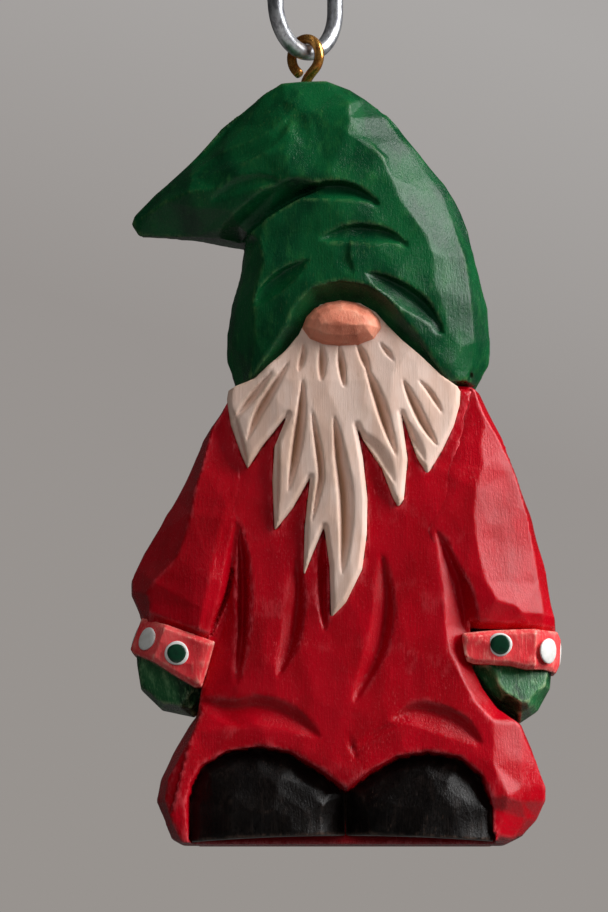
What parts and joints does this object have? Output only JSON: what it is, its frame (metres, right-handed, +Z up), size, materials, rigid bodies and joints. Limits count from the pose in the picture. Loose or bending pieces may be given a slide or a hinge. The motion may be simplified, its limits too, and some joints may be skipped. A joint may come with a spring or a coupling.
{
  "type": "tomte gnome figurine",
  "caption": "Hanging carved wooden gnome with a bent pointed hat, long beard, mittens and boots, on a screw eye and an oval link.",
  "frame": {"origin": "underside of the base, below the middle of the figure's bounding box", "axes": "+Z up from the base to the hat, -Y the figure's front, +X to the viewer's right when looking at the front"},
  "size_m": [0.0564, 0.025, 0.1256],
  "materials": {
    "hat_green": "thinned green acrylic over knife-cut facets, satin",
    "coat_red": "thinned crimson acrylic over knife-cut facets, satin",
    "cuff_pink": "pale red acrylic, satin",
    "beard_cream": "whitewashed bare basswood, matt",
    "nose_tan": "terracotta acrylic, satin",
    "mitten_green": "dark green acrylic, satin",
    "boot_black": "black acrylic, satin",
    "dot_white": "raised acrylic paint",
    "dot_green": "raised acrylic paint",
    "eye_brass": "tarnished brass-plated wire",
    "link_steel": "dull galvanised wire"
  },
  "bodies": {
    "figure": {"coat": "coat_red", "hat": "hat_green", "beard": "beard_cream", "nose": "nose_tan", "boot_left": "boot_black", "boot_right": "boot_black", "sleeve_left": "coat_red", "sleeve_right": "coat_red", "cuff_left": "cuff_pink", "cuff_right": "cuff_pink", "mitten_left": "mitten_green", "mitten_right": "mitten_green", "white_dots_left": "dot_white", "white_dots_right": "dot_white", "green_dots_left": "dot_green", "green_dots_right": "dot_green"},
    "eye": {"screw_eye": "eye_brass"},
    "link": {"hanging_link": "link_steel"}
  },
  "joints": [
    {"name": "eye_turn", "type": "hinge", "parent": "figure", "child": "eye", "pos_m": [-0.0053, 0, 0.1], "axis": [0, 0, 1], "range_deg": [-90, 90]},
    {"name": "link_swing", "type": "hinge", "parent": "eye", "child": "link", "pos_m": [-0.0053, 0, 0.10431], "axis": [0.6428, 0.766, 0], "range_deg": [-125, 125]}
  ]
}
